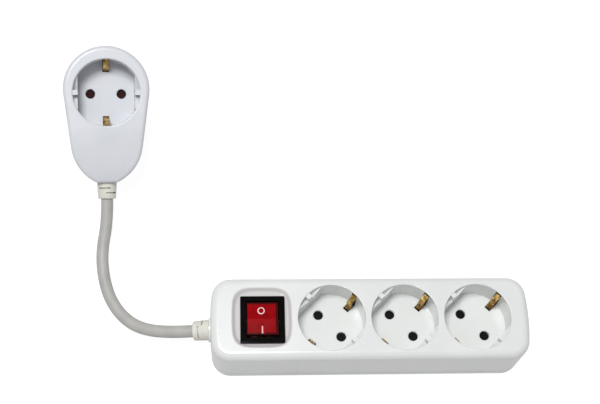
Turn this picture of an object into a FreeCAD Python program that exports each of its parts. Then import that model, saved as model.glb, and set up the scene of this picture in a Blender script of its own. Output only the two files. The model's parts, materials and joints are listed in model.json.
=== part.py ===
import FreeCAD, Part
import math
import os

# Switched three-socket power strip on a short lead with a through-plug.
# Millimetres. The strip lies on its base: origin at the base's middle, +X along it towards the
# far socket, +Z out of the sockets. The lead leaves the -X end and lies on the same surface.

V = FreeCAD.Vector
X = V(1, 0, 0)
Z = V(0, 0, 1)

# Housing
LENGTH = 188.0
WIDTH = 49.6
HEIGHT = 40.0
END_BOW = 2.4
CORNER_R = 11.5
TOP_R = 4.6
BOTTOM_R = 3.0
WALL = 2.2
FLOOR = 2.0
PARTING_Z = 7.2
PARTING_GROOVE = 0.45
LIP_HEIGHT = 2.0
MOULD_LINE_X = -43.0
MOULD_LINE_WIDE = 0.4
MOULD_LINE_DEEP = 0.15
KEYHOLES = [(-46.0, 16.5), (50.0, 16.5)]
KEY_HEAD_R = 4.0
KEY_SLOT_R = 2.1
KEY_SLIDE = 9.0
KEY_ROOM_TOP = 4.4
KEY_BOX_TOP = 5.6

# Sockets: the recess takes a 37 mm round plug, with pins of 4.8 mm at 19 mm centres
PITCH = 43.0
SOCKET_X = [-23.0, -23.0 + PITCH, -23.0 + 2 * PITCH]
SOCKET_TURN = -45.0
RECESS_R = 19.8
RECESS_DEPTH = 17.5
RECESS_LIP = 0.45
CUP_WALL = 1.5
CUP_FLOOR = 2.0
PIN_R = 2.4
PIN_LENGTH = 19.0
PIN_SPACING = 19.0
PIN_OFFSET = PIN_SPACING / 2 * math.cos(math.radians(SOCKET_TURN))
HOLE_R = 2.9
HOLE_CHAMFER = 0.4
CHORD_FLAT = 17.2
CHORD_HALF = 10.0
LEDGE_HIGH = 1.2
LEDGE_LOW = 5.6
RIB_WIDTH = 3.0
RIB_DROP = 0.5
SLOT_WIDTH = 4.0
SLOT_IN_R = 13.6
SLOT_OUT_R = 22.6
SLOT_TOP = 0.9

# Shutters under each cup floor, turning on a post
UNDER_FLOOR = HEIGHT - RECESS_DEPTH - CUP_FLOOR
POST_R = 2.0
SHUTTER_GAP = 0.3
BLADE_THICK = 1.3
BLADE_IN_R = 5.6
BLADE_OUT_R = 12.9
BLADE_HALF_ANGLE = 20.5
HUB_R = 3.6
HUB_LENGTH = 4.0
RETAINER_THICK = 0.8
SPRING_WIRE_R = 0.2
SPRING_R = 4.1
SPRING_PITCH = 0.62
SPRING_TURNS = 3.0

# Brass rails
RAIL_Z = 5.0
RAIL_THICK = 0.6
RAIL_WIDTH = 8.0
LEAF_THICK = 0.5
LEAF_WIDTH = 7.0
LEAF_TOP = 16.0
RAIL_PAST_FIRST = 24.0
RAIL_PAST_LAST = 16.0
RAIL_POST = (12.4, 15.2)
EARTH_THICK = 0.6
CLIP_WIDTH = 3.4
CLIP_THICK = 0.7
CLIP_HALF = 17.6

# Switch
SWITCH_X = -63.5
SWITCH_Y = -1.0
DISH_AT = (-63.9, 0.3)
DISH_X = 35.4
DISH_Y = 36.8
DISH_DEPTH = 1.8
DISH_SLOPE = 2.8
FRAME_X = 26.0
FRAME_Y = 28.4
FRAME_TOP = 40.4
OPEN_X = 19.1
OPEN_Y = 22.0
BODY_X = 22.4
BODY_Y = 25.0
BODY_BOTTOM = 20.0
SWITCH_WALL = 1.4
ROCKER_X = 18.5
ROCKER_Y = 20.3
ROCKER_V = 6.0
ROCKER_REST = -6.0
PIVOT_Z = 35.2
PIVOT_TO_TOP = 4.5
AXLE_R = 1.5
POLE_X = 4.5
ARM_Z = 24.0
ARM_THICK = 0.8
ARM_REST = 4.8
PLUNGER_TIP = 9.8
NEON_Z = 29.0

# Lead, collars and clamps
CORD_D = 7.4
CORE_D = 2.4
COLLAR_ROOT_R = 6.2
COLLAR_TIP_R = 5.7
COLLAR_OUT = 10.0
ENTRY = V(-94.0, -0.8, 18.6)
ENTRY_DROP = 12.0
TAIL_SINK = 1.0
BOSS_R = 7.3
CLAMP_X = -84.0
CLAMP_TOP = 21.5
CLAMP_SCREW_Y = (-8.3, 6.7)
RUN = 14.0
CORD_MIDDLE = [V(-161.3, 54.0, 6.0), V(-159.9, 38.0, 4.0), V(-155.3, 23.2, 3.8), V(-146.8, 11.1, 4.8),
               V(-135.0, 3.0, 7.8)]

# Slits in the collars: turn about the lead and distance from the wall; each has a twin opposite
SLIT_WIDE = 0.8
SLIT_SPREAD = 0.58
STRIP_SLITS = [(50.0, 3.6), (-28.0, 6.0)]
PLUG_SLITS = [(106.0, 3.0), (58.0, 5.9)]

# Screws, driven from below into bosses under the cover
SCREW_HEAD_R = 2.9
SCREW_R = 1.45
SCREW_SPOTS = [(-82.0, 17.0), (-82.0, -17.0), (-1.5, 18.3), (41.5, -18.3), (87.6, 0.0)]
SCREW_BOSS_R = 2.9
SCREW_TOWER_R = 4.45
SCREW_HEAD_Z = 1.2
SCREW_SUNK = 3.0
SCREW_TOP = 24.0

# Through-plug, in its own frame: origin at the middle of its recess rim, +Z out of the face,
# -Y towards its lead
PLUG_RECESS_R = 20.2
PLUG_RECESS_LIP = 0.9
PLUG_HEAD_R = 26.0
PLUG_HEAD_Y = 2.3
PLUG_TAPER = 7.5
PLUG_SHOULDER_Y = -33.6
PLUG_END_Y = -54.7
PLUG_END_HALF = 6.0
PLUG_BODY = 27.0
PLUG_SPLIT = 21.5
PLUG_BOSS_R = 18.5
PLUG_BOSS_DEPTH = 17.0
PLUG_WALL = 2.0
PLUG_EXIT_Z = -16.0
PIN_ROOT_R = 2.0
PIN_ROOT = 7.0
PIN_TIP_R = 1.6
PLUG_DROP = 8.0
PLUG_SCREWS = [(-11.5, -33.5), (11.5, -33.5)]
PLUG_PLACE = FreeCAD.Placement(V(-156.6, 136.8, 58.65), FreeCAD.Rotation(3.2, 6.1, 24.5))

BEYOND = 150.0

os.makedirs("parts", exist_ok=True)


# ---------------------------------------------------------------- shared shapes

def box(low, high):
    return Part.makeBox(high[0] - low[0], high[1] - low[1], high[2] - low[2], V(*low))


def slab(low, high):
    """Everything between two heights, wider than the whole object."""
    return box((-BEYOND, -BEYOND, low), (BEYOND, BEYOND, high))


def span(side, near, far):
    """A stretch from near to far on one side of the middle, as its low and high end."""
    return sorted((side * near, side * far))


def rod(radius, start, end):
    return Part.makeCylinder(radius, (end - start).Length, start, end - start)


def upright(radius, x, y, low, high):
    return rod(radius, V(x, y, low), V(x, y, high))


def join(shapes):
    whole = shapes[0].multiFuse(shapes[1:]) if len(shapes) > 1 else shapes[0]
    return whole.removeSplitter()


def spin(shape, degrees, x=0.0, y=0.0):
    turned = shape.copy()
    turned.rotate(V(x, y, 0), Z, degrees)
    return turned


def at(shape, x, y=0.0, z=0.0):
    moved = shape.copy()
    moved.translate(V(x, y, z))
    return moved


def prism(wire, low, high):
    face = Part.Face(wire)
    face.translate(V(0, 0, low))
    return face.extrude(V(0, 0, high - low))


def ribbon(points, thick, width, across):
    """A bent metal strip: its centre line in one plane, its width along across."""
    pieces = []
    for start, end in zip(points[:-1], points[1:]):
        side = (end - start).cross(across).normalize() * (thick / 2)
        corners = [start + side, end + side, end - side, start - side, start + side]
        face = Part.Face(Part.makePolygon([c - across * (width / 2) for c in corners]))
        pieces.append(face.extrude(across * width))
    for bend in points[1:-1]:
        pieces.append(rod(thick / 2, bend - across * (width / 2), bend + across * (width / 2)))
    return join(pieces)


def route_wire(points):
    """Straight runs joined by tangent arcs, each as large as its two runs allow."""
    edges = []
    radii = []
    start = points[0]
    for before, corner, after in zip(points[:-2], points[1:-1], points[2:]):
        into = (corner - before).normalize()
        out = (after - corner).normalize()
        half = into.getAngle(out) / 2
        trim = 0.45 * min((corner - before).Length, (after - corner).Length)
        radius = trim / math.tan(half)
        radii.append(radius)
        first = corner - into * trim
        last = corner + out * trim
        inward = (out - into).normalize()
        middle = corner + inward * (radius / math.cos(half) - radius)
        edges.append(Part.LineSegment(start, first).toShape())
        edges.append(Part.Arc(first, middle, last).toShape())
        start = last
    edges.append(Part.LineSegment(start, points[-1]).toShape())
    return Part.Wire(edges), radii


def tube(points, diameter):
    """A round cord or wire along a route."""
    wire = route_wire(points)[0]
    circle = Part.Wire(Part.makeCircle(diameter / 2, points[0], points[1] - points[0]))
    return wire.makePipeShell([circle], True, False)


def coil(radius, pitch, turns, wire_r):
    """A round wire coil that climbs from z = 0, eight bends to a turn."""
    steps = int(turns * 8)
    points = [V(radius * math.cos(n * math.pi / 4), radius * math.sin(n * math.pi / 4), pitch * n / 8)
              for n in range(steps + 1)]
    return tube(points, 2 * wire_r)


def screw(x, y, head_z, tip_z, head_r=SCREW_HEAD_R, shank_r=SCREW_R, head=1.8):
    """A pan-head screw driven from below (head_z under tip_z) or from above, with a cross recess."""
    up = 1 if tip_z > head_z else -1
    low = min(head_z, head_z + up * head)
    body = upright(head_r, x, y, low, low + head)
    shank = rod(shank_r, V(x, y, head_z + up * head * 0.5), V(x, y, tip_z))
    whole = join([body, shank])
    whole = whole.makeChamfer(shank_r * 0.4, [e for e in whole.Edges if abs(e.BoundBox.ZMin - tip_z) < 0.01
                                              and e.BoundBox.ZLength < 0.01])
    bar = head_r * 0.62
    deep = 0.9
    cross_low = min(head_z, head_z + up * deep)
    for sizes in ((bar, 0.35), (0.35, bar)):
        cut = box((x - sizes[0], y - sizes[1], cross_low), (x + sizes[0], y + sizes[1], cross_low + deep))
        whole = whole.cut(cut)
    return whole


def save(shape, node):
    shape.exportStep("parts/" + node + ".step")


# ---------------------------------------------------------------- housing outline

def outline(inset, low, high):
    """The strip's plan shape, drawn in by inset, as a prism from low to high."""
    half_l = LENGTH / 2 - inset
    half_w = WIDTH / 2 - inset
    shoulder = half_l - END_BOW
    edges = []
    for side in (1, -1):
        edges.append(Part.LineSegment(V(side * shoulder, side * half_w, 0),
                                      V(-side * shoulder, side * half_w, 0)).toShape())
        edges.append(Part.Arc(V(-side * shoulder, side * half_w, 0), V(-side * half_l, 0, 0),
                              V(-side * shoulder, -side * half_w, 0)).toShape())
    solid = prism(Part.Wire(edges), low, high)
    corners = [e for e in solid.Edges if abs(e.BoundBox.ZLength - (high - low)) < 0.01]
    return solid.makeFillet(CORNER_R - inset, corners)


def housing_block():
    block = outline(0.0, 0.0, HEIGHT)
    top = [e for e in block.Edges if e.BoundBox.ZMin > HEIGHT - 0.01]
    block = block.makeFillet(TOP_R, top)
    bottom = [e for e in block.Edges if e.BoundBox.ZMax < 0.01]
    return block.makeFillet(BOTTOM_R, bottom)


# ---------------------------------------------------------------- sockets

def recess(radius, lip):
    """The hollow of one socket about the origin, rim at z = 0, holes on X and earth slots on Y.
    Flat guides stand at both ends of X, each a rib between two ledges that slope down to it."""
    hollow = upright(radius, 0, 0, -RECESS_DEPTH, 1.0)
    flare = upright(radius + lip, 0, 0, -lip, 1.0).cut(Part.makeTorus(radius + lip, lip, V(0, 0, -lip)))
    hollow = hollow.fuse(flare)
    reach = radius + 5
    under = -RECESS_DEPTH - 1
    slopes = [(-CHORD_HALF, under), (-CHORD_HALF, -LEDGE_HIGH), (-RIB_WIDTH / 2, -LEDGE_LOW),
              (RIB_WIDTH / 2, -LEDGE_LOW), (CHORD_HALF, -LEDGE_HIGH), (CHORD_HALF, under), (-CHORD_HALF, under)]
    for side in (1, -1):
        low, high = span(side, CHORD_FLAT, reach)
        ledge = Part.Face(Part.makePolygon([V(low, y, z) for y, z in slopes])).extrude(V(high - low, 0, 0))
        rib = box((low, -RIB_WIDTH / 2, under), (high, RIB_WIDTH / 2, -RIB_DROP))
        hollow = hollow.cut(ledge).cut(rib)
    return hollow


def floor_openings():
    """Pin holes with their lead-in, and the two earth slots in the floor and up the wall."""
    depth = RECESS_DEPTH
    cuts = []
    for side in (1, -1):
        x = side * PIN_SPACING / 2
        cuts.append(upright(HOLE_R, x, 0, -depth - CUP_FLOOR - 0.5, -depth + 0.5))
        cuts.append(Part.makeCone(HOLE_R, HOLE_R + HOLE_CHAMFER, HOLE_CHAMFER,
                                  V(x, 0, -depth - HOLE_CHAMFER), Z))
        low, high = span(side, SLOT_IN_R, SLOT_OUT_R)
        cuts.append(box((-SLOT_WIDTH / 2, low, -depth - CUP_FLOOR - 0.5), (SLOT_WIDTH / 2, high, -SLOT_TOP)))
    return join(cuts)


def shutter(floor_z):
    """Two blades on a hub; they cover the pin holes at rest."""
    top = floor_z - SHUTTER_GAP
    ring = upright(BLADE_OUT_R, 0, 0, top - BLADE_THICK, top).cut(
        upright(BLADE_IN_R, 0, 0, top - BLADE_THICK - 1, top + 1))
    reach = 2 * BLADE_OUT_R
    half = math.radians(BLADE_HALF_ANGLE)
    blades = []
    for side in (1, -1):
        tip = V(side * reach * math.cos(half), reach * math.sin(half), top - BLADE_THICK)
        other = V(tip.x, -tip.y, tip.z)
        wedge = Part.Face(Part.makePolygon([V(0, 0, tip.z), tip, other, V(0, 0, tip.z)]))
        blades.append(ring.common(wedge.extrude(V(0, 0, BLADE_THICK))))
        inner, outer = span(side, POST_R + 0.5, BLADE_IN_R + 0.8)
        blades.append(box((inner, -2.0, top - BLADE_THICK), (outer, 2.0, top)))
    hub = upright(HUB_R, 0, 0, top - HUB_LENGTH, top)
    bore = upright(POST_R + 0.06, 0, 0, top - HUB_LENGTH - 1, top + 1)
    return join([hub] + blades).cut(bore)


def shutter_spring(floor_z):
    """The open-wound return spring round the shutter's hub."""
    low = floor_z - SHUTTER_GAP - HUB_LENGTH + 0.35
    return at(coil(SPRING_R, SPRING_PITCH, SPRING_TURNS, SPRING_WIRE_R), 0, 0, low)


def retainer(floor_z):
    """The push-on star washer that holds the shutter on its post."""
    top = floor_z - 2 * SHUTTER_GAP - HUB_LENGTH
    washer = upright(3.2, 0, 0, top - RETAINER_THICK, top)
    washer = washer.cut(upright(POST_R, 0, 0, top - 2, top + 1))
    for step in range(4):
        notch = box((POST_R - 0.2, -0.3, top - 2), (POST_R + 0.6, 0.3, top + 1))
        washer = washer.cut(spin(notch, 45 + 90 * step))
    return washer


def post(floor_z):
    return upright(POST_R, 0, 0, floor_z - 2 * SHUTTER_GAP - HUB_LENGTH - RETAINER_THICK - 0.4, floor_z + 0.5)


def earth_clip(bottom_z, rim_z):
    """One U of brass: across under the rails, in through the floor slots, bowed in at the plug and out
    through the cup wall at its ends."""
    bends = [(CLIP_HALF, -22.6), (14.9, -19.6), (14.9, -16.8), (17.4, -13.4), (15.8, -10.6), (17.3, -7.6),
             (20.9, -6.0)]
    arm = [V(0, CLIP_HALF, bottom_z)] + [V(0, out, rim_z + down) for out, down in bends]
    mirrored = [V(0, -p.y, p.z) for p in reversed(arm)]
    return ribbon(mirrored + arm, CLIP_THICK, CLIP_WIDTH, X)


# ---------------------------------------------------------------- strip housing

def dish():
    """The shallow seat round the switch: a square with bowed sides, softly sloped down to its floor."""
    def loop(grow, z):
        half_x = DISH_X / 2 + grow
        half_y = DISH_Y / 2 + grow
        points = []
        for step in range(32):
            turn = math.pi * step / 16
            along = math.copysign(abs(math.cos(turn)) ** 0.5, math.cos(turn))
            across = math.copysign(abs(math.sin(turn)) ** 0.5, math.sin(turn))
            points.append(V(half_x * along, half_y * across, z))
        curve = Part.BSplineCurve()
        curve.interpolate(points, True)
        return Part.Wire(curve.toShape())
    steps = [(-DISH_SLOPE, 1.0), (-DISH_SLOPE * 0.7, 0.86), (-DISH_SLOPE * 0.3, 0.3), (0.0, 0.0)]
    loops = [loop(grow, HEIGHT - DISH_DEPTH * down) for grow, down in steps]
    hollow = Part.makeLoft(loops + [loop(0.3, HEIGHT + 1.0)], True, True)
    return at(hollow, *DISH_AT)


def sleeve_axis():
    drop = math.radians(ENTRY_DROP)
    return V(-math.cos(drop), 0, -math.sin(drop))


def top_cover(block, tail, sleeve):
    cover = block.cut(slab(-1, PARTING_Z))
    cover = cover.cut(outline(WALL, PARTING_Z - 1, HEIGHT - WALL))
    cover = cover.fuse(rod(BOSS_R, ENTRY + X * 2.5, ENTRY - X * 0.9))
    adds = []
    seat_low = HEIGHT - DISH_DEPTH - WALL
    adds.append(box((DISH_AT[0] - DISH_X / 2 - 1, -DISH_Y / 2 - 1, seat_low),
                    (DISH_AT[0] + DISH_X / 2 + 1, DISH_Y / 2 + 1, HEIGHT - WALL + 0.5)))
    for x in SOCKET_X:
        adds.append(upright(RECESS_R + CUP_WALL, x, 0, UNDER_FLOOR, HEIGHT - WALL + 0.5))
    for x, y in SCREW_SPOTS:
        adds.append(upright(SCREW_BOSS_R, x, y, PARTING_Z, HEIGHT - WALL + 0.5))
    cover = cover.multiFuse(adds)
    for x in SOCKET_X:
        cover = cover.cut(at(spin(recess(RECESS_R, RECESS_LIP), SOCKET_TURN), x, 0, HEIGHT))
        cover = cover.cut(at(spin(floor_openings(), SOCKET_TURN), x, 0, HEIGHT))
        cover = cover.fuse(at(post(UNDER_FLOOR), x))
    for x, y in SCREW_SPOTS:
        cover = cover.cut(upright(SCREW_R, x, y, PARTING_Z - 1, SCREW_TOP + 1))
    cover = cover.cut(dish())
    cover = cover.cut(box((SWITCH_X - BODY_X / 2, SWITCH_Y - BODY_Y / 2, seat_low - 1),
                          (SWITCH_X + BODY_X / 2, SWITCH_Y + BODY_Y / 2, HEIGHT + 1)))
    cover = cover.cut(box((SWITCH_X - FRAME_X / 2, SWITCH_Y - FRAME_Y / 2, HEIGHT - DISH_DEPTH),
                          (SWITCH_X + FRAME_X / 2, SWITCH_Y + FRAME_Y / 2, HEIGHT + 1)))
    return cover.cut(mould_line()).cut(sleeve).cut(tail).removeSplitter()


def mould_line():
    """The fine line that the mould's insert leaves down both long sides."""
    lines = []
    for side in (1, -1):
        low, high = span(side, WIDTH / 2 - MOULD_LINE_DEEP, WIDTH / 2 + 1.0)
        lines.append(box((MOULD_LINE_X - MOULD_LINE_WIDE / 2, low, -1),
                         (MOULD_LINE_X + MOULD_LINE_WIDE / 2, high, HEIGHT)))
    return Part.makeCompound(lines)


def keyhole(x, y):
    """A blind wall-hanging keyhole: screw head in at the round end, then along the slot."""
    end = x + KEY_SLIDE
    cuts = [upright(KEY_HEAD_R, x, y, -1, KEY_ROOM_TOP)]
    cuts.append(box((x, y - KEY_SLOT_R, -1), (end, y + KEY_SLOT_R, FLOOR)))
    cuts.append(upright(KEY_SLOT_R, end, y, -1, FLOOR))
    cuts.append(box((x, y - KEY_HEAD_R, FLOOR - 0.2), (end, y + KEY_HEAD_R, KEY_ROOM_TOP)))
    cuts.append(upright(KEY_HEAD_R, end, y, FLOOR - 0.2, KEY_ROOM_TOP))
    return join(cuts)


def base_cover(block):
    base = block.common(slab(-1, PARTING_Z))
    base = base.cut(outline(WALL, FLOOR, PARTING_Z + 1))
    lip_in = outline(WALL + 1.1, PARTING_Z - 3, PARTING_Z + LIP_HEIGHT)
    lip = outline(WALL + 0.1, PARTING_Z - 3, PARTING_Z + LIP_HEIGHT)
    lip = lip.cut(lip_in).cut(box((-100, -12, PARTING_Z - 0.05), (-80, 12, PARTING_Z + 5)))
    root = outline(WALL - 0.4, PARTING_Z - 3, PARTING_Z - 0.5)
    root = root.cut(outline(WALL + 1.1, PARTING_Z - 4, PARTING_Z))
    adds = [lip, root]
    for x, y in SCREW_SPOTS:
        adds.append(upright(SCREW_TOWER_R, x, y, FLOOR - 0.5, PARTING_Z))
    wall = KEY_HEAD_R + 1.3
    for x, y in KEYHOLES:
        adds.append(box((x - wall, y - wall, FLOOR - 0.5), (x + KEY_SLIDE + wall, y + wall, KEY_BOX_TOP)))
    for x in SOCKET_X:
        for y in (PIN_OFFSET, -PIN_OFFSET):
            for side in (1, -1):
                low, high = span(side, *RAIL_POST)
                adds.append(box((x + low, y - 3.0, FLOOR - 0.5), (x + high, y + 3.0, RAIL_Z)))
    adds.append(box((CLAMP_X - 3.5, -11.5, FLOOR - 0.5), (CLAMP_X + 3.5, 10.0, CLAMP_TOP - 0.6)))
    base = base.multiFuse(adds)
    for x, y in SCREW_SPOTS:
        base = base.cut(upright(SCREW_R + 0.15, x, y, -1, PARTING_Z + 5))
        base = base.cut(upright(SCREW_HEAD_R + 0.3, x, y, -1, SCREW_SUNK))
        base = base.cut(upright(SCREW_BOSS_R + 0.1, x, y, PARTING_Z, PARTING_Z + 5))
    for x, y in KEYHOLES:
        base = base.cut(keyhole(x, y))
    groove = outline(-1.0, PARTING_Z - PARTING_GROOVE, PARTING_Z)
    groove = groove.cut(outline(PARTING_GROOVE, PARTING_Z - PARTING_GROOVE, PARTING_Z))
    return base.cut(groove).cut(mould_line())


# ---------------------------------------------------------------- rails and contacts

def rail(y, contact_xs):
    """A folded brass rail with a pair of spring leaves at every socket."""
    start_x = SOCKET_X[0] - RAIL_PAST_FIRST
    end_x = SOCKET_X[-1] + RAIL_PAST_LAST
    strip = box((start_x, y - RAIL_WIDTH / 2, RAIL_Z), (end_x, y + RAIL_WIDTH / 2, RAIL_Z + RAIL_THICK))
    adds = []
    cuts = []
    for x in contact_xs:
        cuts.append(upright(PIN_R + 0.3, x, y, RAIL_Z - 1, RAIL_Z + 2))
        for side in (1, -1):
            low, high = span(side, PIN_R + 0.05, PIN_R + 0.05 + LEAF_THICK)
            adds.append(box((x - LEAF_WIDTH / 2, y + low, RAIL_Z), (x + LEAF_WIDTH / 2, y + high, LEAF_TOP)))
    return join([strip.cut(join(cuts))] + adds)


def earth_rail():
    ends = (SOCKET_X[0] - 22.0, SOCKET_X[-1] + 8.0)
    return box((ends[0], -2.0, FLOOR), (ends[1], 2.0, FLOOR + EARTH_THICK))


# ---------------------------------------------------------------- switch

def switch_housing():
    x = SWITCH_X
    y = SWITCH_Y
    seat = HEIGHT - DISH_DEPTH
    flange = box((x - FRAME_X / 2, y - FRAME_Y / 2, seat), (x + FRAME_X / 2, y + FRAME_Y / 2, FRAME_TOP))
    rim = [e for e in flange.Edges if e.BoundBox.ZMin > FRAME_TOP - 0.01 or e.BoundBox.ZLength > 1.0]
    flange = flange.makeFillet(0.7, rim)
    body = box((x - BODY_X / 2, y - BODY_Y / 2, BODY_BOTTOM), (x + BODY_X / 2, y + BODY_Y / 2, seat + 0.5))
    room = box((x - OPEN_X / 2, y - OPEN_Y / 2, BODY_BOTTOM + SWITCH_WALL),
               (x + OPEN_X / 2, y + OPEN_Y / 2, FRAME_TOP + 1))
    shell = join([flange, body]).cut(room)
    bearing = OPEN_X / 2 + 1.2
    shell = shell.cut(rod(AXLE_R + 0.05, V(x - bearing, y, PIVOT_Z), V(x + bearing, y, PIVOT_Z)))
    cradles = []
    for side in (1, -1):
        low = min(x + side * OPEN_X / 2, x + side * (OPEN_X / 2 - 1.4))
        cradles.append(box((low, y - 9.6, BODY_BOTTOM + 1.0), (low + 1.4, y - 5.4, NEON_Z)))
    shell = shell.multiFuse(cradles).cut(neon_lamp())
    return shell.cut(switch_terminals()).removeSplitter()


def neon_lamp():
    y = SWITCH_Y - 7.5
    reach = OPEN_X / 2 - 0.4
    glass = rod(1.9, V(SWITCH_X - reach, y, NEON_Z), V(SWITCH_X + reach, y, NEON_Z))
    return glass.makeFillet(0.9, [e for e in glass.Edges if e.BoundBox.XLength < 0.01])


def rocker_profile():
    """Seen along X, untilted, the pivot at the origin."""
    half = ROCKER_Y / 2
    rise = half * math.tan(math.radians(ROCKER_V))
    points = [V(0, -half, PIVOT_TO_TOP + rise), V(0, 0, PIVOT_TO_TOP), V(0, half, PIVOT_TO_TOP + rise),
              V(0, half, PIVOT_TO_TOP - 1.6), V(0, 4.2, -3.2), V(0, -4.2, -3.2),
              V(0, -half, PIVOT_TO_TOP - 1.6), V(0, -half, PIVOT_TO_TOP + rise)]
    return Part.Face(Part.makePolygon(points))


def on_pivot(shape, degrees):
    placed = shape.copy()
    placed.rotate(V(0, 0, 0), X, degrees)
    placed.translate(V(SWITCH_X, SWITCH_Y, PIVOT_Z))
    return placed


def rocker():
    face = rocker_profile()
    face.translate(V(-ROCKER_X / 2, 0, 0))
    body = face.extrude(V(ROCKER_X, 0, 0))
    rims = [e for e in body.Edges if e.BoundBox.ZMin > PIVOT_TO_TOP - 0.01 and e.BoundBox.YLength > 5]
    ends = [e for e in body.Edges if e.BoundBox.ZMin > PIVOT_TO_TOP + 0.9 and e.BoundBox.XLength > 5]
    body = body.makeFillet(0.5, rims + ends)
    axle = rod(AXLE_R, V(-OPEN_X / 2 - 1.0, 0, 0), V(OPEN_X / 2 + 1.0, 0, 0))
    body = join([body, axle])
    for side in (1, -1):
        body = body.cut(upright(1.65, side * POLE_X, 0, -6, 1.0))
    return on_pivot(body, ROCKER_REST)


def plungers():
    made = []
    for side in (1, -1):
        x = side * POLE_X
        pin = upright(1.3, x, 0, -PLUNGER_TIP + 1.3, -2.5)
        tip = Part.makeSphere(1.3, V(x, 0, -PLUNGER_TIP + 1.3))
        collar = upright(1.6, x, 0, -3.4, -2.5)
        made.append(on_pivot(join([pin, tip, collar]), ROCKER_REST))
    return Part.makeCompound(made)


def plunger_springs():
    made = []
    for side in (1, -1):
        made.append(on_pivot(at(coil(1.2, 0.75, 4.0, 0.2), side * POLE_X, 0, -2.25), ROCKER_REST))
    return Part.makeCompound(made)


def contact_arms():
    made = []
    for side in (1, -1):
        x = SWITCH_X + side * POLE_X
        bar = box((x - 2.0, SWITCH_Y - 8.0, ARM_Z), (x + 2.0, SWITCH_Y + 8.0, ARM_Z + ARM_THICK))
        stud = upright(1.3, x, SWITCH_Y + 6.4, ARM_Z - 0.5, ARM_Z + 0.3)
        arm = join([bar, stud])
        arm.rotate(V(x, SWITCH_Y, ARM_Z), X, ARM_REST)
        made.append(arm)
    return Part.makeCompound(made)


def switch_terminals():
    """A knife-edge terminal and a contact terminal for each pole, with blades below the housing."""
    made = []
    for side in (1, -1):
        x = SWITCH_X + side * POLE_X
        knife = box((x - 3.1, SWITCH_Y - 0.4, 11.0), (x + 3.1, SWITCH_Y + 0.4, ARM_Z - 0.35))
        blade = box((x - 3.1, SWITCH_Y + 6.0, 11.0), (x + 3.1, SWITCH_Y + 6.8, 22.0))
        stud = upright(1.3, x, SWITCH_Y + 6.4, 21.5, ARM_Z - 1.45)
        made.append(knife)
        made.append(join([blade, stud]))
    return Part.makeCompound(made)


# ---------------------------------------------------------------- lead at the strip

def strip_points():
    axis = sleeve_axis()
    tip = ENTRY + axis * COLLAR_OUT
    inner = ENTRY - axis * 4.0
    return [tip, inner, V(CLAMP_X + 6.5, inner.y, inner.z - TAIL_SINK)]


def collar(root, axis, out_length, root_r, tip_r, inner_length, slits):
    """A soft slit collar: a cone outside the wall and a neck in the wall."""
    tip = root + axis * out_length
    cone = Part.makeCone(root_r, tip_r, out_length, root, axis)
    cone = cone.makeFillet(0.8, [e for e in cone.Edges if e.Closed and abs(e.Curve.Radius - tip_r) < 0.01])
    neck = rod(root_r - 0.6, root - axis * inner_length, root + axis * 0.5)
    half = root_r * SLIT_SPREAD
    for turn, along in slits:
        ring = Part.makeCylinder(root_r + 1, SLIT_WIDE).cut(Part.makeCylinder(tip_r - 1.2, SLIT_WIDE))
        pair = ring.common(Part.makeBox(root_r * 4, half * 2, SLIT_WIDE, V(-root_r * 2, -half, 0)))
        pair.rotate(V(0, 0, 0), Z, turn)
        spot = FreeCAD.Placement(root + axis * along, FreeCAD.Rotation(Z, axis))
        pair.Placement = spot.multiply(pair.Placement)
        cone = cone.cut(pair)
    return join([cone, neck]), tip


def cord_clamp(tail):
    bar = box((CLAMP_X - 3.2, -11.0, CLAMP_TOP - 0.6), (CLAMP_X + 3.2, 9.4, CLAMP_TOP + 3.6))
    bar = bar.makeFillet(1.0, [e for e in bar.Edges if e.BoundBox.ZMin > CLAMP_TOP + 3.5])
    bar = bar.cut(tail)
    for y in CLAMP_SCREW_Y:
        bar = bar.cut(upright(SCREW_R + 0.1, CLAMP_X, y, 10, 30))
    return bar


# ---------------------------------------------------------------- through-plug, own frame

def plug_outline(inset, low, high):
    taper = math.radians(PLUG_TAPER)
    radius = PLUG_HEAD_R - inset
    side = V(radius * math.cos(taper), PLUG_HEAD_Y - radius * math.sin(taper), 0)
    along = V(-math.sin(taper), -math.cos(taper), 0)
    inward = V(-math.cos(taper), math.sin(taper), 0)
    shoulder = side + along * ((side.y - PLUG_SHOULDER_Y) / math.cos(taper))
    foot = V(PLUG_END_HALF, PLUG_END_Y + inset, 0)
    gap = shoulder - foot
    bend = -gap.dot(gap) / (2 * inward.dot(gap))
    centre = shoulder + inward * bend
    middle = centre + ((shoulder - centre).normalize() + (foot - centre).normalize()).normalize() * bend
    mirrored = [V(-p.x, p.y, 0) for p in (side, shoulder, middle, foot)]
    left_side, left_shoulder, left_middle, left_foot = mirrored
    edges = [Part.Arc(side, V(0, PLUG_HEAD_Y + radius, 0), left_side).toShape(),
             Part.LineSegment(left_side, left_shoulder).toShape(),
             Part.Arc(left_shoulder, left_middle, left_foot).toShape(),
             Part.LineSegment(left_foot, foot).toShape(),
             Part.Arc(foot, middle, shoulder).toShape(),
             Part.LineSegment(shoulder, side).toShape()]
    return prism(Part.Wire(edges), low, high)


def plug_side_cut(inset):
    """Everything in front of the plug's face: level over the socket, curving back towards the lead."""
    start = V(0, -22.0, -inset)
    end = V(0, PLUG_END_Y - 2.0, -PLUG_DROP - inset)
    middle = V(0, -39.5, -PLUG_DROP * 0.27 - inset)
    edges = [Part.Arc(start, middle, end).toShape(),
             Part.LineSegment(end, V(0, end.y, 20)).toShape(),
             Part.LineSegment(V(0, end.y, 20), V(0, 40, 20)).toShape(),
             Part.LineSegment(V(0, 40, 20), V(0, 40, -inset)).toShape(),
             Part.LineSegment(V(0, 40, -inset), start).toShape()]
    face = Part.Face(Part.Wire(edges))
    face.translate(V(-40, 0, 0))
    return face.extrude(V(80, 0, 0))


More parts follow.
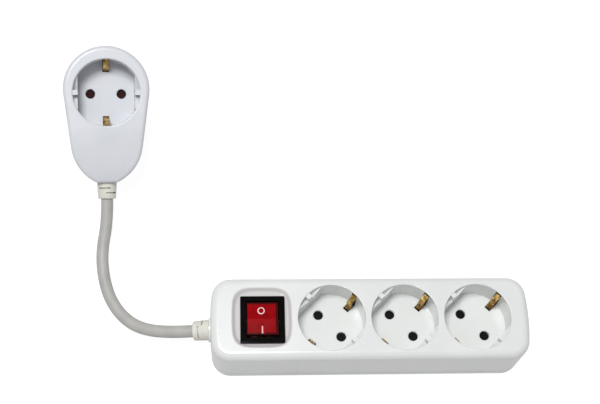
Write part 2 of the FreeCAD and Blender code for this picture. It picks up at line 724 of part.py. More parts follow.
def plug_shell():
    block = plug_outline(0.0, -PLUG_BODY, 1.0).cut(plug_side_cut(0.0))
    front = [e for e in block.Edges if e.BoundBox.ZMin > -PLUG_DROP - 0.6 and e.BoundBox.ZLength < 7.9
             and not (e.BoundBox.YLength < 0.01 and abs(e.BoundBox.YMin + 22.0) < 0.1)]
    return block.makeFillet(2.4, front)


def plug_cover(shell, tail, sleeve):
    cover = shell.cut(slab(-PLUG_BODY - 1, -PLUG_SPLIT))
    hollow = plug_outline(PLUG_WALL, -PLUG_SPLIT - 1, 1.0).cut(plug_side_cut(PLUG_WALL))
    cover = cover.cut(hollow)
    cup = upright(PLUG_RECESS_R + CUP_WALL, 0, 0, -RECESS_DEPTH - CUP_FLOOR, -PLUG_WALL + 0.5)
    adds = [cup]
    for x, y in PLUG_SCREWS:
        adds.append(upright(3.2, x, y, -PLUG_SPLIT, -3.2))
    cover = cover.multiFuse(adds)
    cover = cover.cut(recess(PLUG_RECESS_R, PLUG_RECESS_LIP)).cut(floor_openings())
    cover = cover.fuse(post(-RECESS_DEPTH - CUP_FLOOR))
    for x, y in PLUG_SCREWS:
        cover = cover.cut(upright(SCREW_R, x, y, -PLUG_SPLIT - 1, -9.0))
    return cover.cut(sleeve).cut(tail).removeSplitter()


def plug_base(shell, tail, sleeve):
    plate = shell.common(slab(-PLUG_BODY - 1, -PLUG_SPLIT))
    low = -PLUG_BODY - PLUG_BOSS_DEPTH
    boss = upright(PLUG_BOSS_R, 0, 0, low, -PLUG_BODY + 0.5)
    boss = boss.makeFillet(1.0, [e for e in boss.Edges if e.BoundBox.ZMax < low + 0.01])
    base = join([plate, boss])
    base = base.cut(plug_outline(PLUG_WALL, -PLUG_BODY + PLUG_WALL, -PLUG_SPLIT + 1))
    base = base.cut(upright(PLUG_BOSS_R - 2.6, 0, 0, low + 4.0, -PLUG_SPLIT + 1))
    for side in (1, -1):
        left, right = span(side, 16.9, 20.0)
        base = base.cut(box((left, -2.6, low - 1), (right, 2.6, -PLUG_BODY)))
        near, far = span(side, 15.0, 19.2)
        base = base.cut(box((-2.6, near, low + 1.2), (2.6, far, -PLUG_BODY)))
        base = base.fuse(upright(4.2, side * PIN_SPACING / 2, 0, low + 0.5, low + 6.0))
    for x, y in PLUG_SCREWS:
        base = base.fuse(upright(4.4, x, y, -PLUG_BODY + 0.5, -PLUG_SPLIT))
        base = base.cut(upright(SCREW_R + 0.15, x, y, -PLUG_BODY - 1, -PLUG_SPLIT + 1))
        base = base.cut(upright(SCREW_HEAD_R + 0.3, x, y, -PLUG_BODY - 1, -PLUG_BODY + 2.4))
    for side in (1, -1):
        x = side * PIN_SPACING / 2
        base = base.cut(upright(PIN_ROOT_R, x, 0, low - 1, low + PIN_ROOT))
    saddle = box((-8.0, -46.5, -PLUG_BODY + 0.5), (8.0, -41.5, PLUG_EXIT_Z - 0.6))
    base = base.fuse(saddle)
    return base.cut(tail).cut(sleeve).cut(plug_earth_bracket()).removeSplitter()


def plug_pin(side):
    """A solid round pin with a rounded tip and a thinner root held in the base."""
    x = side * PIN_SPACING / 2
    low = -PLUG_BODY - PLUG_BOSS_DEPTH
    pin = upright(PIN_R, x, 0, low - PIN_LENGTH, low)
    pin = pin.makeFillet(PIN_TIP_R, [e for e in pin.Edges if e.BoundBox.ZMax < low - PIN_LENGTH + 0.01])
    return join([pin, upright(PIN_ROOT_R, x, 0, low - 1.0, low + PIN_ROOT)])


def plug_contact(side):
    """A slit brass sleeve in line with each pin, which grips the plug put into the front."""
    x = side * PIN_SPACING / 2
    low = -PLUG_BODY - PLUG_BOSS_DEPTH + PIN_ROOT
    sleeve = upright(PIN_R + 0.7, x, 0, low, -25.5).cut(upright(PIN_R + 0.05, x, 0, low + 0.8, -20.0))
    return sleeve.cut(box((x - 0.35, -5, low + 4.0), (x + 0.35, 5, -20.0)))


def plug_earth_bracket():
    bar_z = -RECESS_DEPTH - CUP_FLOOR - 8.2
    low = -PLUG_BODY - PLUG_BOSS_DEPTH
    width = 4.4
    clip = earth_clip(bar_z, 0.0)
    arm = [V(0, CLIP_HALF - 1.6, bar_z), V(0, 18.05, bar_z - 2.2), V(0, 18.05, low + 2.0)]
    down = [ribbon(arm, CLIP_THICK, width, X), ribbon([V(0, -p.y, p.z) for p in arm], CLIP_THICK, width, X)]
    cross = box((-width / 2, -CLIP_HALF, bar_z - CLIP_THICK / 2),
                (width / 2, CLIP_HALF, bar_z + CLIP_THICK / 2))
    return join([clip, cross] + down)


# ---------------------------------------------------------------- make everything

def make_strip():
    block = housing_block()
    sleeve, tip = collar(ENTRY, sleeve_axis(), COLLAR_OUT, COLLAR_ROOT_R, COLLAR_TIP_R, 7.0, STRIP_SLITS)
    tail = tube(strip_points(), CORD_D)
    cover = top_cover(block, tail, sleeve)
    save(cover, "top_cover")
    base = base_cover(block).cut(tail).cut(sleeve)
    for y in CLAMP_SCREW_Y:
        base = base.cut(upright(SCREW_R, CLAMP_X, y, CLAMP_TOP - 11.5, CLAMP_TOP))
    save(base, "base_cover")
    save(sleeve.cut(tail), "strip_cord_sleeve")
    save(tail, "cord_tail_strip")
    save(cord_clamp(tail), "cord_clamp")
    clamp_screws = [screw(CLAMP_X, y, CLAMP_TOP + 5.4, CLAMP_TOP - 11.0, 2.6) for y in CLAMP_SCREW_Y]
    save(Part.makeCompound(clamp_screws), "clamp_screws")
    save(Part.makeCompound([screw(x, y, SCREW_HEAD_Z, SCREW_TOP) for x, y in SCREW_SPOTS]), "cover_screws")
    for number, x in enumerate(SOCKET_X, 1):
        save(at(spin(shutter(UNDER_FLOOR), SOCKET_TURN), x), "shutter_%d" % number)
        save(at(spin(shutter_spring(UNDER_FLOOR), SOCKET_TURN), x), "shutter_spring_%d" % number)
        save(at(retainer(UNDER_FLOOR), x), "shutter_retainer_%d" % number)
        clip = earth_clip(FLOOR + EARTH_THICK + CLIP_THICK / 2, HEIGHT)
        save(at(spin(clip, SOCKET_TURN), x), "earth_clip_%d" % number)
    save(rail(PIN_OFFSET, [x - PIN_OFFSET for x in SOCKET_X]), "live_rail")
    save(rail(-PIN_OFFSET, [x + PIN_OFFSET for x in SOCKET_X]), "neutral_rail")
    save(earth_rail(), "earth_rail")
    return tip


def make_switch():
    save(switch_housing(), "switch_housing")
    save(rocker(), "rocker")
    save(plungers(), "rocker_plungers")
    save(plunger_springs(), "plunger_springs")
    save(contact_arms(), "contact_arms")
    save(switch_terminals(), "switch_terminals")
    save(neon_lamp(), "neon_lamp")


def make_wiring():
    core_start = strip_points()[-1] + V(0.25, 0, 0)
    cores = [core_start + V(0, 1.9, 0.2), core_start + V(0, -1.9, 0.2), core_start + V(0, 0, -2.0)]
    straight = V(3.0, 0, 0)
    pole = [SWITCH_X - POLE_X, SWITCH_X + POLE_X]
    near = SWITCH_Y + 0.4
    far = SWITCH_Y + 6.8
    routes = {
        "live_wire": [cores[0], cores[0] + straight, V(-72.6, 3.5, 13.5),
                      V(-71.0, 4.6, 8.4), V(pole[0] - 0.6, 3.9, 7.6), V(pole[0], near + 1.2, 9.6),
                      V(pole[0], near + 1.2, 13.0)],
        "neutral_wire": [cores[1], cores[1] + straight, V(-72.4, -5.5, 13.5),
                         V(-69.5, -7.2, 8.0), V(-61.0, -6.4, 7.0), V(pole[1] - 0.3, -2.6, 8.4),
                         V(pole[1], SWITCH_Y - 1.6, 13.0)],
        "earth_wire": [cores[2], cores[2] + straight, V(-73.0, -1.2, 10.2),
                       V(-67.5, -3.4, 4.4), V(-56.0, -2.0, 3.9), V(-44.0, 0, 3.8)],
        "live_link": [V(pole[0], far + 1.2, 13.5), V(pole[0] + 1.2, far + 1.6, 8.2), V(-58.0, 10.8, 7.2),
                      V(-50.0, PIN_OFFSET + 1.8, 6.9), V(-43.0, PIN_OFFSET, 6.8)],
        "neutral_link": [V(pole[1], far + 1.2, 13.5), V(pole[1] + 0.4, far + 1.4, 7.4), V(-56.2, 2.0, 6.4),
                         V(-52.0, -4.6, 7.2), V(-47.6, -PIN_OFFSET, 6.9), V(-42.0, -PIN_OFFSET, 6.8)],
    }
    for node, points in routes.items():
        save(tube(points, CORE_D), node)


def make_plug():
    axis = V(0, -1, 0)
    root = V(0, PLUG_END_Y, PLUG_EXIT_Z)
    sleeve, tip = collar(root, axis, COLLAR_OUT, COLLAR_ROOT_R - 0.2, COLLAR_TIP_R - 0.3, 6.5, PLUG_SLITS)
    tail = rod(CORD_D / 2, tip, V(0, PLUG_END_Y + 14.0, PLUG_EXIT_Z))
    shell = plug_shell()
    pieces = {
        "plug_cover": plug_cover(shell, tail, sleeve),
        "plug_base": plug_base(shell, tail, sleeve),
        "plug_pin_live": plug_pin(-1),
        "plug_pin_neutral": plug_pin(1),
        "plug_contact_live": plug_contact(-1),
        "plug_contact_neutral": plug_contact(1),
        "plug_earth_bracket": plug_earth_bracket(),
        "plug_shutter": shutter(-RECESS_DEPTH - CUP_FLOOR),
        "plug_shutter_spring": shutter_spring(-RECESS_DEPTH - CUP_FLOOR),
        "plug_shutter_retainer": retainer(-RECESS_DEPTH - CUP_FLOOR),
        "plug_screws": Part.makeCompound([screw(x, y, -PLUG_BODY + 0.6, -9.8) for x, y in PLUG_SCREWS]),
        "plug_cord_sleeve": sleeve.cut(tail),
        "cord_tail_plug": tail,
    }
    clamp = box((-7.6, -46.2, PLUG_EXIT_Z - 0.6), (7.6, -41.8, PLUG_EXIT_Z + 5.6)).cut(tail)
    pieces["plug_cord_clamp"] = clamp
    for node, shape in pieces.items():
        shape.Placement = PLUG_PLACE.multiply(shape.Placement)
        save(shape, node)
    return PLUG_PLACE.multVec(tip), PLUG_PLACE.Rotation.multVec(axis)


def make_cord(strip_tip, plug_tip, plug_axis):
    points = [plug_tip, plug_tip + plug_axis * RUN] + CORD_MIDDLE
    points += [strip_tip + sleeve_axis() * RUN, strip_tip]
    wire, radii = route_wire(points)
    solid = tube(points, CORD_D)
    section = math.pi * CORD_D ** 2 / 4
    print("cord length %.1f" % wire.Length, "volume ratio %.4f" % (solid.Volume / section / wire.Length))
    print("cord radii", [round(r, 1) for r in radii], "runs",
          [round((b - a).Length, 1) for a, b in zip(points[:-1], points[1:])])
    print("cord points", [tuple(round(c, 2) for c in p) for p in points])
    print("cord lowest", round(solid.BoundBox.ZMin, 2))
    save(solid, "cord")


strip_tip = make_strip()
make_switch()
make_wiring()
plug_tip, plug_axis = make_plug()
make_cord(strip_tip, plug_tip, plug_axis)
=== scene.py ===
import json
import math

import bpy
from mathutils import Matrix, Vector


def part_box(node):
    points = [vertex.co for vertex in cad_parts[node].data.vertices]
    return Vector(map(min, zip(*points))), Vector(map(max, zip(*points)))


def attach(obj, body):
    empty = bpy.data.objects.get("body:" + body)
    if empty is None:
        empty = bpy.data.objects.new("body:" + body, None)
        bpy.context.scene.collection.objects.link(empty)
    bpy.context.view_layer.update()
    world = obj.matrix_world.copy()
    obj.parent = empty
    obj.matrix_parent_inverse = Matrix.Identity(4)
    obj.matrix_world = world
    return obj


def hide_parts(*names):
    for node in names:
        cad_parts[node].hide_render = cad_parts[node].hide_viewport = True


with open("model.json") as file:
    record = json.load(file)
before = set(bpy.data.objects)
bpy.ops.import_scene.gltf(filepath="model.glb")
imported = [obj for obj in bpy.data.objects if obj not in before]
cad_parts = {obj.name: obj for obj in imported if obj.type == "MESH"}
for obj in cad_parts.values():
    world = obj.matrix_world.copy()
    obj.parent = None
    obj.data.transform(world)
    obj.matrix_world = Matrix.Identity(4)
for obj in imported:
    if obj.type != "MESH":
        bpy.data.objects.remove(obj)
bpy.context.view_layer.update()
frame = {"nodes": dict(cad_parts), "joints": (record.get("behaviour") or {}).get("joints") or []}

MM = 0.001
bpy.ops.object.select_all(action="DESELECT")
nodes = frame["nodes"]


# Camera. It stands above the strip's near side, a little left of its middle, and looks down
# at the sockets through a long lens, so the strip and the plug behind it keep their proportions.

camera_data = bpy.data.cameras.new("camera")
camera_data.lens = 72.0
camera = bpy.data.objects.new("camera", camera_data)
camera.location = (-0.0852, -0.2038, 0.7095)
camera.rotation_euler = (math.radians(22.48), math.radians(-3.28), math.radians(-1.43))
bpy.context.scene.collection.objects.link(camera)
bpy.context.scene.camera = camera


# Free cord. A three-core mains lead of 7.4 mm in a smooth grey PVC sheath, extruded, so it is even
# and satin. It slopes out of the plug's collar, lies on the surface in one quarter turn and
# climbs into the strip's collar.

def linear(hex_colour):
    """An sRGB hex colour as linear red, green, blue and full alpha."""
    made = []
    for n in (1, 3, 5):
        c = int(hex_colour[n:n + 2], 16) / 255
        made.append(c / 12.92 if c <= 0.04045 else ((c + 0.055) / 1.055) ** 2.4)
    return (*made, 1.0)


def add(material, kind, inputs=(), **settings):
    """Adds one node: settings are its own properties, inputs its sockets, each a value or a link."""
    made = material.node_tree.nodes.new("ShaderNode" + kind)
    for key, value in settings.items():
        setattr(made, key, value)
    for key, value in dict(inputs).items():
        if isinstance(value, bpy.types.NodeSocket):
            material.node_tree.links.new(value, made.inputs[key])
        else:
            made.inputs[key].default_value = value
    return made


def finish_material(name, **sockets):
    """A new material and its shader, with the sockets set by name, underscores for spaces."""
    material = bpy.data.materials.new(name)
    material.use_nodes = True
    shader = material.node_tree.nodes["Principled BSDF"]
    for key, value in sockets.items():
        shader.inputs[key.replace("_", " ")].default_value = value
    return material, shader


def surface(material, shader, low, high, size_mm, roughness, bump_mm, grain_mm, stretch=(1, 1, 1)):
    """Colour and roughness that drift over size_mm, and a skin bump_mm deep with a grain_mm grain.
    stretch draws the grain out along an axis, as a drawn or brushed surface is."""
    links = material.node_tree.links
    place = add(material, "TexCoord").outputs["Object"]
    cloud = add(material, "TexNoise", {"Vector": place, "Scale": 1 / (size_mm * MM), "Detail": 3.0})
    tint = add(material, "ValToRGB", {"Fac": cloud.outputs["Fac"]})
    tint.color_ramp.elements[0].position = 0.3
    tint.color_ramp.elements[0].color = linear(low)
    tint.color_ramp.elements[1].position = 0.7
    tint.color_ramp.elements[1].color = linear(high)
    links.new(tint.outputs["Color"], shader.inputs["Base Color"])
    spread = add(material, "MapRange", {"Value": cloud.outputs["Fac"], "To Min": roughness[0],
                                        "To Max": roughness[1]})
    links.new(spread.outputs["Result"], shader.inputs["Roughness"])
    drawn = add(material, "Mapping", {"Vector": place, "Scale": [1 / s for s in stretch]})
    grain = add(material, "TexNoise", {"Vector": drawn.outputs["Vector"], "Scale": 1 / (grain_mm * MM),
                                       "Detail": 2.0})
    skin = add(material, "Bump", {"Height": grain.outputs["Fac"], "Strength": 0.6,
                                  "Distance": bump_mm * MM})
    links.new(skin.outputs["Normal"], shader.inputs["Normal"])


def wear(material, *names):
    """Gives whole CAD nodes one material."""
    for name in names:
        nodes[name].data.materials.clear()
        nodes[name].data.materials.append(material)


# Smooth PVC: a soft wide highlight along the lead and a faint drift of grey.
cord_pvc, shader = finish_material("grey_pvc_sheath", IOR=1.53, Specular_IOR_Level=0.4)
surface(cord_pvc, shader, "#A9A8A5", "#B5B4B1", 9.0, (0.42, 0.52), 0.03, 0.6)

CORD_D = 7.4 * MM
CORD_ROUTE = [(-158.08, 84.4, 17.49), (-157.98, 71.64, 11.72), (-161.3, 54.0, 6.0), (-159.9, 38.0, 4.0),
              (-155.3, 23.2, 3.8), (-146.8, 11.1, 4.8), (-135.0, 3.0, 7.8), (-117.48, -0.8, 13.61),
              (-103.78, -0.8, 16.52)]
line = bpy.data.curves.new("free_cord", "CURVE")
line.dimensions = "3D"
line.bevel_depth = CORD_D / 2
line.bevel_resolution = 10
line.resolution_u = 16
line.use_fill_caps = True
spline = line.splines.new("NURBS")
spline.points.add(len(CORD_ROUTE) - 1)
for point, (x, y, z) in zip(spline.points, CORD_ROUTE):
    point.co = (x * MM, y * MM, z * MM, 1.0)
spline.order_u = 3
spline.use_endpoint_u = True
free_cord = bpy.data.objects.new("free_cord", line)
bpy.context.scene.collection.objects.link(free_cord)
free_cord.data.materials.append(cord_pvc)
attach(free_cord, "housing")
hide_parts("cord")


# Cord ends and collars. The sheath goes on into both clamps. Where it leaves the strip and the plug
# it sits in a short slit collar of softer cream PVC, moulded separately and pushed into the wall.

wear(cord_pvc, "cord_tail_strip", "cord_tail_plug")

# Soft PVC: nearly matt, a little dusty, warmer than the hard shells.
collar_pvc, shader = finish_material("cream_soft_pvc", IOR=1.52, Specular_IOR_Level=0.35)
surface(collar_pvc, shader, "#D1CFC6", "#DAD8CF", 6.0, (0.45, 0.58), 0.03, 0.5)
wear(collar_pvc, "strip_cord_sleeve", "plug_cord_sleeve")


# Strip housing. Two shells of white ABS from a polished mould: a deep cover with the three socket
# cups, and a shallow tray under it, drawn together by screws from below.

# Polished ABS: a faint sharp reflection in a slightly wavy skin over an even, faintly cool white.
ABS_POLISH = {"IOR": 1.53, "Coat_Weight": 0.12, "Coat_Roughness": 0.06}
ABS_SKIN = ("#DDDFDE", "#E3E5E4", 30.0, (0.2, 0.28), 0.01, 1.4)
housing_abs, shader = finish_material("polished_white_abs", **ABS_POLISH)
surface(housing_abs, shader, *ABS_SKIN)
wear(housing_abs, "base_cover")

# The cover has the same polish, but for the dished seat round the switch, which is eroded matt in the
# mould and painted a shade greyer, as painted shade for its slopes. The seat is a square with bowed
# sides, below the level of the face.
SEAT_AT = Vector((-63.9, 0.3, 0)) * MM
SEAT_HALF = Vector((17.7, 18.4, 0)) * MM
SEAT_STEP = 0.25
SEAT_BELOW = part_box("top_cover")[1][2] - SEAT_STEP * MM
SEAT_ROUGHNESS = 0.55
# Painted shade: the seat's colour, greyer than the face, stands in for shade on its slopes.
SEAT_PAINTED_SHADE_GREY = "#CBC8C8"
cover_abs, shader = finish_material("polished_abs_with_matt_seat_and_painted_shade", **ABS_POLISH)
surface(cover_abs, shader, *ABS_SKIN)
spot = add(cover_abs, "TexCoord").outputs["Object"]
centred = add(cover_abs, "VectorMath", {0: spot, 1: SEAT_AT}, operation="SUBTRACT")
apart = add(cover_abs, "SeparateXYZ", {"Vector": centred.outputs["Vector"]})
share = [add(cover_abs, "Math", {0: apart.outputs[axis], 1: half}, operation="DIVIDE").outputs[0]
         for axis, half in (("X", SEAT_HALF.x), ("Y", SEAT_HALF.y))]
squared = [add(cover_abs, "Math", {0: part, 1: part}, operation="MULTIPLY").outputs[0] for part in share]
fourth = [add(cover_abs, "Math", {0: part, 1: part}, operation="MULTIPLY").outputs[0] for part in squared]
bowed = add(cover_abs, "Math", {0: fourth[0], 1: fourth[1]}, operation="ADD").outputs[0]
inside = add(cover_abs, "Math", {0: bowed, 1: 1.0}, operation="LESS_THAN").outputs[0]
sunk = add(cover_abs, "Math", {0: apart.outputs["Z"], 1: SEAT_BELOW}, operation="LESS_THAN").outputs[0]
seat = add(cover_abs, "Math", {0: inside, 1: sunk}, operation="MULTIPLY").outputs[0]
polish = shader.inputs["Roughness"].links[0].from_socket
white = shader.inputs["Base Color"].links[0].from_socket
matt = add(cover_abs, "Mix", {0: seat, 2: polish, 3: SEAT_ROUGHNESS}, data_type="FLOAT")
# The seat's greyer base colour is painted shade; only its matt roughness is the real finish.
grey = add(cover_abs, "Mix", {0: seat, 6: white, 7: linear(SEAT_PAINTED_SHADE_GREY)}, data_type="RGBA")
cover_abs.node_tree.links.new(matt.outputs[0], shader.inputs["Roughness"])
cover_abs.node_tree.links.new(grey.outputs[2], shader.inputs["Base Color"])
wear(cover_abs, "top_cover")


# Screws and cord clamps. Zinc-plated pan-head screws hold the shells from below, and two more press
# a grey nylon bar down on the sheath; the plug has the same bar and screws in small.

# Bright zinc: a cool grey metal with a slightly frosted, patchy shine.
zinc, shader = finish_material("zinc_plated_steel", Metallic=1.0)
surface(zinc, shader, "#A9ADB2", "#C2C5C8", 1.6, (0.24, 0.38), 0.02, 0.3)
wear(zinc, "cover_screws", "clamp_screws", "plug_screws")

# Filled nylon: matt mid grey with a slightly rough skin.
clamp_nylon, shader = finish_material("grey_filled_nylon", IOR=1.53)
surface(clamp_nylon, shader, "#8A8A87", "#969692", 3.0, (0.5, 0.62), 0.04, 0.4)
wear(clamp_nylon, "cord_clamp", "plug_cord_clamp")


# Rails and earth clips. Brass strip, stamped and bent: two rails with spring leaves for the pins,
# an earth rail, and one U-shaped clip per socket whose bowed ends stand in the cup's two slots.

# Stamped brass with fine lines from the rolling mill. Its colour drifts in patches from dark brown to
# bright
# yellow: painted reflection, dark and bright patches standing in for dark and bright surroundings
# mirrored in the metal.
brass, shader = finish_material("stamped_brass_painted_reflection", Metallic=1.0)
surface(brass, shader, "#7A5118", "#F6D488", 2.2, (0.1, 0.3), 0.03, 0.3, stretch=(1, 1, 8))
wear(brass, "live_rail", "neutral_rail", "earth_rail")
wear(brass, "earth_clip_1", "earth_clip_2", "earth_clip_3", "plug_earth_bracket")


# Socket shutters. A black nylon blade under each cup floor turns on a post and closes both pin
# holes; a small wire spring returns it, and a push-on star washer keeps it on.

# Moulded nylon in the dark of the pin holes: close to black with a dull warm sheen.
shutter_nylon, shader = finish_material("black_shutter_nylon", IOR=1.53, Specular_IOR_Level=0.1)
surface(shutter_nylon, shader, "#030202", "#060404", 3.0, (0.5, 0.6), 0.02, 0.4)

# Drawn spring wire: a dark steel with a thin bright line along it.
spring_steel, shader = finish_material("spring_steel", Metallic=1.0)
surface(spring_steel, shader, "#85878B", "#9C9EA2", 1.2, (0.25, 0.38), 0.01, 0.2)
for number in ("1", "2", "3"):
    wear(shutter_nylon, "shutter_" + number)
    wear(spring_steel, "shutter_spring_" + number, "shutter_retainer_" + number)


# Switch housing. A black nylon box with a rounded frame that snaps into the dished seat.

# Glossy nylon: deep black, and only grazing light shows on its rounded rim.
switch_nylon, shader = finish_material("black_nylon", IOR=1.53, Specular_IOR_Level=0.1)
surface(switch_nylon, shader, "#040303", "#070606", 6.0, (0.08, 0.13), 0.01, 0.8)
wear(switch_nylon, "switch_housing")


# Rocker. One cap of translucent red polycarbonate with two flat faces that meet in a shallow V.
# Inside a smooth border, rows of small pyramids scatter the lamp's light; O and I are moulded white.

tilt = next(j for j in frame["joints"] if j["name"] == "rocker_tilt")
PIVOT = Vector(tilt["pos_m"]) / MM
PIVOT_TO_TOP = 4.5
FACE_RISE = 6.0
REST_TILT = -6.0
WINDOW_LEFT = -8.75
WINDOW_RIGHT = 7.65
WINDOW_REACH = {1: 8.75, -1: 9.05}
PYRAMID_PITCH = 0.75
PYRAMID_HIGH = 0.12
PLATE_THICK = 0.1
MARK_THICK = 0.24
RING_AT = (-0.8, 4.83)
RING_R = 1.8
RING_STROKE_R = 0.45
BAR_AT = (-0.2, 7.2)
BAR_WIDE = 0.85
BAR_LONG = 4.8
BAR_ROUNDING = 0.2


def on_face(side, across, along):
    """A point on the rocker's far (1) or near (-1) face and the face's turn about X, at rest."""
    rest = math.radians(REST_TILT)
    turn = math.radians(REST_TILT + side * FACE_RISE)
    valley = PIVOT + Vector((0, -math.sin(rest), math.cos(rest))) * PIVOT_TO_TOP
    point = valley + Vector((across, side * along * math.cos(turn), side * along * math.sin(turn)))
    return point * MM, turn


def settle(name, sizes):
    """Names the primitive just added, scales it in its own axes and puts its place into its mesh."""
    piece = bpy.context.object
    piece.name = name
    piece.scale = [s * MM for s in sizes]
    bpy.ops.object.transform_apply()
    return piece


plates = []
for side, reach in WINDOW_REACH.items():
    width = WINDOW_RIGHT - WINDOW_LEFT
    place, turn = on_face(side, (WINDOW_LEFT + WINDOW_RIGHT) / 2, reach / 2)
    bpy.ops.mesh.primitive_grid_add(x_subdivisions=round(width / PYRAMID_PITCH),
                                    y_subdivisions=round(reach / PYRAMID_PITCH),
                                    size=1, location=place, rotation=(turn, 0, 0))
    plate = settle("rocker_window", (width, reach, 1))
    outward = Vector((0, -math.sin(turn), math.cos(turn)))
    bpy.ops.object.mode_set(mode="EDIT")
    bpy.ops.mesh.select_all(action="SELECT")
    bpy.ops.mesh.extrude_region_move(TRANSFORM_OT_translate={"value": outward * PLATE_THICK * MM})
    bpy.ops.mesh.poke(offset=PYRAMID_HIGH * MM)
    bpy.ops.mesh.select_all(action="SELECT")
    bpy.ops.mesh.normals_make_consistent(inside=False)
    bpy.ops.object.mode_set(mode="OBJECT")
    plates.append(plate)
plates[0].select_set(True)
bpy.ops.object.join()
rocker_window = bpy.context.object

# The ring is a torus pressed flat.
place, turn = on_face(1, *RING_AT)
bpy.ops.object.select_all(action="DESELECT")
bpy.ops.mesh.primitive_torus_add(location=place, rotation=(turn, 0, 0),
                                 major_segments=64, minor_segments=20,
                                 major_radius=RING_R, minor_radius=RING_STROKE_R)
off_mark = settle("off_mark", (1, 1, MARK_THICK / RING_STROKE_R))
bpy.ops.object.shade_smooth()

# The bar is a block with round ends and a softened rim.
place, turn = on_face(-1, *BAR_AT)
bpy.ops.object.select_all(action="DESELECT")
bpy.ops.mesh.primitive_cube_add(size=1, location=place, rotation=(turn, 0, 0))
on_mark = settle("on_mark", (BAR_WIDE, BAR_LONG, 2 * MARK_THICK))
rounding = on_mark.modifiers.new("rounding", "BEVEL")
rounding.width = BAR_ROUNDING * MM
rounding.segments = 4
bpy.ops.object.modifier_apply(modifier=rounding.name)
bpy.ops.object.shade_smooth_by_angle(angle=math.radians(35))

# Clear red polycarbonate with a faint sharp shine, painted a dark wine red at the smooth border: painted
# shade, a shaded copy of the red over the pyramids.
rocker_pc_painted_shade, shader = finish_material("red_polycarbonate", IOR=1.58, Specular_IOR_Level=0.15)
surface(rocker_pc_painted_shade, shader, "#3C0408", "#46060A", 5.0, (0.08, 0.14), 0.005, 1.5)
wear(rocker_pc_painted_shade, "rocker")

# The same plastic over the pyramids, painted brighter: a painted highlight for the light each facet
# throws back, a lit copy of the border's red.
pyramid_pc_painted_light, shader = finish_material("prismatic_red_pc_painted_light", IOR=1.58, Specular_IOR_Level=0.03)
surface(pyramid_pc_painted_light, shader, "#86090F", "#980C13", 4.0, (0.15, 0.22), 0.005, 1.5)
rocker_window.data.materials.append(pyramid_pc_painted_light)

# White filler in the two marks, with a pink tinge.
mark_white, shader = finish_material("white_mark_filler", IOR=1.5)
surface(mark_white, shader, "#E6BCB9", "#EECAC7", 1.0, (0.4, 0.5), 0.01, 0.3)
for mark in (off_mark, on_mark):
    mark.data.materials.append(mark_white)
    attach(mark, "rocker")
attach(rocker_window, "rocker")


# Switch works. Two sprung acetal plungers under the rocker push a pair of copper see-saw arms on
# and off their studs, and a neon lamp lies in two cradles under the rocker's near end.

# Acetal: waxy white and smooth.
acetal, shader = finish_material("white_acetal", IOR=1.48)
surface(acetal, shader, "#DEDCD5", "#E6E4DE", 2.0, (0.3, 0.4), 0.01, 0.4)
wear(acetal, "rocker_plungers")
wear(spring_steel, "plunger_springs")

# Copper alloy: reddish, rolled, slightly dulled.
copper, shader = finish_material("rolled_copper_alloy", Metallic=1.0)
surface(copper, shader, "#B06A3C", "#C98A58", 2.0, (0.24, 0.4), 0.02, 0.3, stretch=(1, 8, 1))
wear(copper, "contact_arms", "switch_terminals")

# Lamp glass: thin clear tube with a warm tint from the electrodes.
lamp_glass, shader = finish_material("neon_lamp_glass", IOR=1.47, Transmission_Weight=0.85)
surface(lamp_glass, shader, "#F2D8B4", "#F8E6CC", 1.5, (0.04, 0.08), 0.002, 0.8)
wear(lamp_glass, "neon_lamp")


# Cores. Three insulated wires leave the clamped sheath, and two links join the switch to the rails.

# Core PVC: semi-matt single colours.
for colour, low, high, names in (("brown", "#4E2A1A", "#5C3321", ("live_wire", "live_link")),
                                 ("blue", "#2A4F99", "#3560AC", ("neutral_wire", "neutral_link"))):
    core_pvc, shader = finish_material(colour + "_core_pvc", IOR=1.53)
    surface(core_pvc, shader, low, high, 4.0, (0.38, 0.48), 0.01, 0.4)
    wear(core_pvc, *names)

# The earth core is green with one yellow stripe along its upper side.
earth_pvc, shader = finish_material("green_yellow_core_pvc", IOR=1.53, Roughness=0.42)
facing = add(earth_pvc, "SeparateXYZ", {"Vector": add(earth_pvc, "TexCoord").outputs["Normal"]})
stripe = add(earth_pvc, "ValToRGB", {"Fac": facing.outputs["Z"]})
stripe.color_ramp.interpolation = "CONSTANT"
stripe.color_ramp.elements[0].color = linear("#3E8E3A")
stripe.color_ramp.elements[1].position = 0.45
stripe.color_ramp.elements[1].color = linear("#DCC531")
earth_pvc.node_tree.links.new(stripe.outputs["Color"], shader.inputs["Base Color"])
wear(earth_pvc, "earth_wire")


# Through-plug. A cover with its own socket cup and a base with the plug-in boss, both of white
# polyamide, which is tougher and bluer than the strip's ABS and less polished.

# Polyamide: a satin skin with a broad soft highlight.
plug_pa, shader = finish_material("white_polyamide", IOR=1.53, Coat_Weight=0.1, Coat_Roughness=0.15)
surface(plug_pa, shader, "#CED1D6", "#D5D7DD", 25.0, (0.3, 0.38), 0.02, 0.9)
wear(plug_pa, "plug_cover", "plug_base")


# Plug pins and contacts. Two solid pins, nickel-plated, each riveted to a slit brass sleeve that
# grips the next plug's pin; the shutter in between is dark brown.

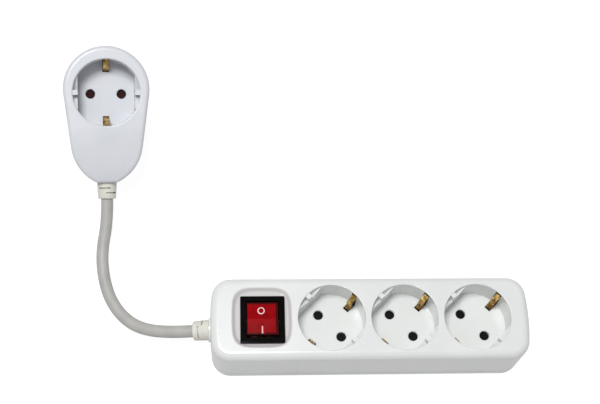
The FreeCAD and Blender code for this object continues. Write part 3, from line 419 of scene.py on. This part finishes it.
# Nickel plate: a smooth, slightly yellow silver.
nickel, shader = finish_material("nickel_plate", Metallic=1.0)
surface(nickel, shader, "#C4C2BC", "#D6D4CE", 3.0, (0.16, 0.26), 0.005, 0.5)
wear(nickel, "plug_pin_live", "plug_pin_neutral")
wear(brass, "plug_contact_live", "plug_contact_neutral")

# Brown nylon: as the black one, redder.
shutter_brown, shader = finish_material("brown_shutter_nylon", IOR=1.53, Specular_IOR_Level=0.1)
surface(shutter_brown, shader, "#240A07", "#30110C", 3.0, (0.5, 0.6), 0.02, 0.4)
wear(shutter_brown, "plug_shutter")
wear(spring_steel, "plug_shutter_spring", "plug_shutter_retainer")


# Floor and light. A white acrylic light table that glows a little, so that shadows stay faint, under
# one soft box from the far left and a narrow strip light low in front, which draws the edges.

bpy.ops.mesh.primitive_plane_add(size=6.0, location=(0, 0, -0.0002))
floor = bpy.context.object
floor.name = "floor"
table, shader = finish_material("glowing_acrylic", Roughness=0.9)
shader.inputs["Base Color"].default_value = linear("#808080")
shader.inputs["Emission Color"].default_value = linear("#FFFFFF")
seen = add(table, "LightPath")
glow = add(table, "MapRange", {"Value": seen.outputs["Is Camera Ray"], "To Min": 0.5, "To Max": 0.9})
table.node_tree.links.new(glow.outputs["Result"], shader.inputs["Emission Strength"])
floor.data.materials.append(table)


def soft_light(name, place, aim, width, height, power):
    """A rectangular soft box at place, turned towards aim; metres and watts."""
    lamp = bpy.data.lights.new(name, "AREA")
    lamp.shape = "RECTANGLE"
    lamp.size = width
    lamp.size_y = height
    lamp.energy = power
    made = bpy.data.objects.new(name, lamp)
    made.location = place
    made.rotation_euler = (Vector(aim) - Vector(place)).to_track_quat("-Z", "Y").to_euler()
    bpy.context.scene.collection.objects.link(made)


soft_light("key_light", (-0.3, 0.06, 1.6), (-0.03, 0.02, 0), 0.5, 0.5, 19.5)
soft_light("edge_light", (0.0, -0.95, 0.78), (-0.02, 0, 0), 1.4, 0.06, 0.5)
world = bpy.data.worlds.new("studio")
world.use_nodes = True
world.node_tree.nodes["Background"].inputs["Color"].default_value = (1, 1, 1, 1)
world.node_tree.nodes["Background"].inputs["Strength"].default_value = 0.33
bpy.context.scene.world = world
bpy.context.scene.view_settings.view_transform = "Standard"
